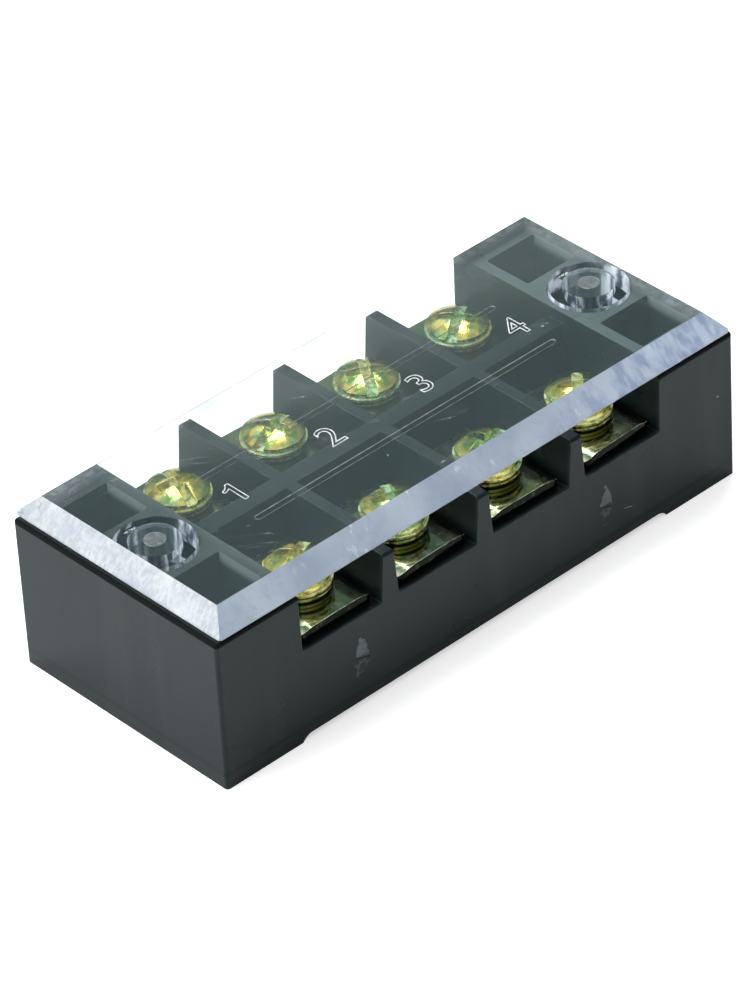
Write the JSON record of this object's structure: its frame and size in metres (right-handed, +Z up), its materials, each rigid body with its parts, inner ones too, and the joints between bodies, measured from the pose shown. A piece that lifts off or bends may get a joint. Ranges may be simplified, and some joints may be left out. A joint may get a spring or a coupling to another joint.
{
  "type": "barrier terminal strip",
  "caption": "Long moulded terminal strip with screw clamps in bays between upright barriers, a fixing hole in each end block and a flat clear cover held by split pegs.",
  "frame": {"origin": "centre of the underside, on the plane of the two feet", "axes": "+X along the row of poles from pole 1 to pole 4, -Y towards the front row of screws, +Z up through the cover"},
  "size_m": [0.0714, 0.0302, 0.0205],
  "materials": {
    "body": "moulded, low gloss",
    "cover": "clear, polished, lightly scratched",
    "conductor": "plated",
    "plate": "yellow passivated, worn at the edges",
    "washer": "yellow passivated",
    "screw": "yellow passivated, slightly iridescent"
  },
  "bodies": {
    "base": {"base_body": "body", "conductor_1": "conductor", "conductor_2": "conductor", "conductor_3": "conductor", "conductor_4": "conductor"},
    "cover": {"clear_cover": "cover"},
    "clamp_front_1": {"clamp_plate_front_1": "plate", "lock_washer_front_1": "washer"},
    "screw_front_1": {"terminal_screw_front_1": "screw"},
    "clamp_rear_1": {"clamp_plate_rear_1": "plate", "lock_washer_rear_1": "washer"},
    "screw_rear_1": {"terminal_screw_rear_1": "screw"},
    "clamp_front_2": {"clamp_plate_front_2": "plate", "lock_washer_front_2": "washer"},
    "screw_front_2": {"terminal_screw_front_2": "screw"},
    "clamp_rear_2": {"clamp_plate_rear_2": "plate", "lock_washer_rear_2": "washer"},
    "screw_rear_2": {"terminal_screw_rear_2": "screw"},
    "clamp_front_3": {"clamp_plate_front_3": "plate", "lock_washer_front_3": "washer"},
    "screw_front_3": {"terminal_screw_front_3": "screw"},
    "clamp_rear_3": {"clamp_plate_rear_3": "plate", "lock_washer_rear_3": "washer"},
    "screw_rear_3": {"terminal_screw_rear_3": "screw"},
    "clamp_front_4": {"clamp_plate_front_4": "plate", "lock_washer_front_4": "washer"},
    "screw_front_4": {"terminal_screw_front_4": "screw"},
    "clamp_rear_4": {"clamp_plate_rear_4": "plate", "lock_washer_rear_4": "washer"},
    "screw_rear_4": {"terminal_screw_rear_4": "screw"}
  },
  "joints": [
    {"name": "cover_lift", "type": "slide", "parent": "base", "child": "cover", "axis": [0, 0, 1], "range_m": [0, 0.012]},
    {"name": "clamp_lift_front_1", "type": "slide", "parent": "base", "child": "clamp_front_1", "axis": [0, 0, 1], "range_m": [0, 0.0023]},
    {"name": "screw_turn_front_1", "type": "hinge", "parent": "clamp_front_1", "child": "screw_front_1", "pos_m": [-0.0195, -0.0088, 0.0137], "axis": [0, 0, 1], "range_deg": [0, 1182.9]},
    {"name": "clamp_lift_rear_1", "type": "slide", "parent": "base", "child": "clamp_rear_1", "axis": [0, 0, 1], "range_m": [0, 0.0023]},
    {"name": "screw_turn_rear_1", "type": "hinge", "parent": "clamp_rear_1", "child": "screw_rear_1", "pos_m": [-0.0195, 0.0088, 0.0137], "axis": [0, 0, 1], "range_deg": [0, 1182.9]},
    {"name": "clamp_lift_front_2", "type": "slide", "parent": "base", "child": "clamp_front_2", "axis": [0, 0, 1], "range_m": [0, 0.0023]},
    {"name": "screw_turn_front_2", "type": "hinge", "parent": "clamp_front_2", "child": "screw_front_2", "pos_m": [-0.0065, -0.0088, 0.0137], "axis": [0, 0, 1], "range_deg": [0, 1182.9]},
    {"name": "clamp_lift_rear_2", "type": "slide", "parent": "base", "child": "clamp_rear_2", "axis": [0, 0, 1], "range_m": [0, 0.0023]},
    {"name": "screw_turn_rear_2", "type": "hinge", "parent": "clamp_rear_2", "child": "screw_rear_2", "pos_m": [-0.0065, 0.0088, 0.0137], "axis": [0, 0, 1], "range_deg": [0, 1182.9]},
    {"name": "clamp_lift_front_3", "type": "slide", "parent": "base", "child": "clamp_front_3", "axis": [0, 0, 1], "range_m": [0, 0.0023]},
    {"name": "screw_turn_front_3", "type": "hinge", "parent": "clamp_front_3", "child": "screw_front_3", "pos_m": [0.0065, -0.0088, 0.0137], "axis": [0, 0, 1], "range_deg": [0, 1182.9]},
    {"name": "clamp_lift_rear_3", "type": "slide", "parent": "base", "child": "clamp_rear_3", "axis": [0, 0, 1], "range_m": [0, 0.0023]},
    {"name": "screw_turn_rear_3", "type": "hinge", "parent": "clamp_rear_3", "child": "screw_rear_3", "pos_m": [0.0065, 0.0088, 0.0137], "axis": [0, 0, 1], "range_deg": [0, 1182.9]},
    {"name": "clamp_lift_front_4", "type": "slide", "parent": "base", "child": "clamp_front_4", "axis": [0, 0, 1], "range_m": [0, 0.0023]},
    {"name": "screw_turn_front_4", "type": "hinge", "parent": "clamp_front_4", "child": "screw_front_4", "pos_m": [0.0195, -0.0088, 0.0137], "axis": [0, 0, 1], "range_deg": [0, 1182.9]},
    {"name": "clamp_lift_rear_4", "type": "slide", "parent": "base", "child": "clamp_rear_4", "axis": [0, 0, 1], "range_m": [0, 0.0023]},
    {"name": "screw_turn_rear_4", "type": "hinge", "parent": "clamp_rear_4", "child": "screw_rear_4", "pos_m": [0.0195, 0.0088, 0.0137], "axis": [0, 0, 1], "range_deg": [0, 1182.9]}
  ],
  "couplings": [
    {"joint": "screw_turn_front_1", "follows": "clamp_lift_front_1", "rad_per_m": 8976},
    {"joint": "screw_turn_rear_1", "follows": "clamp_lift_rear_1", "rad_per_m": 8976},
    {"joint": "screw_turn_front_2", "follows": "clamp_lift_front_2", "rad_per_m": 8976},
    {"joint": "screw_turn_rear_2", "follows": "clamp_lift_rear_2", "rad_per_m": 8976},
    {"joint": "screw_turn_front_3", "follows": "clamp_lift_front_3", "rad_per_m": 8976},
    {"joint": "screw_turn_rear_3", "follows": "clamp_lift_rear_3", "rad_per_m": 8976},
    {"joint": "screw_turn_front_4", "follows": "clamp_lift_front_4", "rad_per_m": 8976},
    {"joint": "screw_turn_rear_4", "follows": "clamp_lift_rear_4", "rad_per_m": 8976}
  ]
}
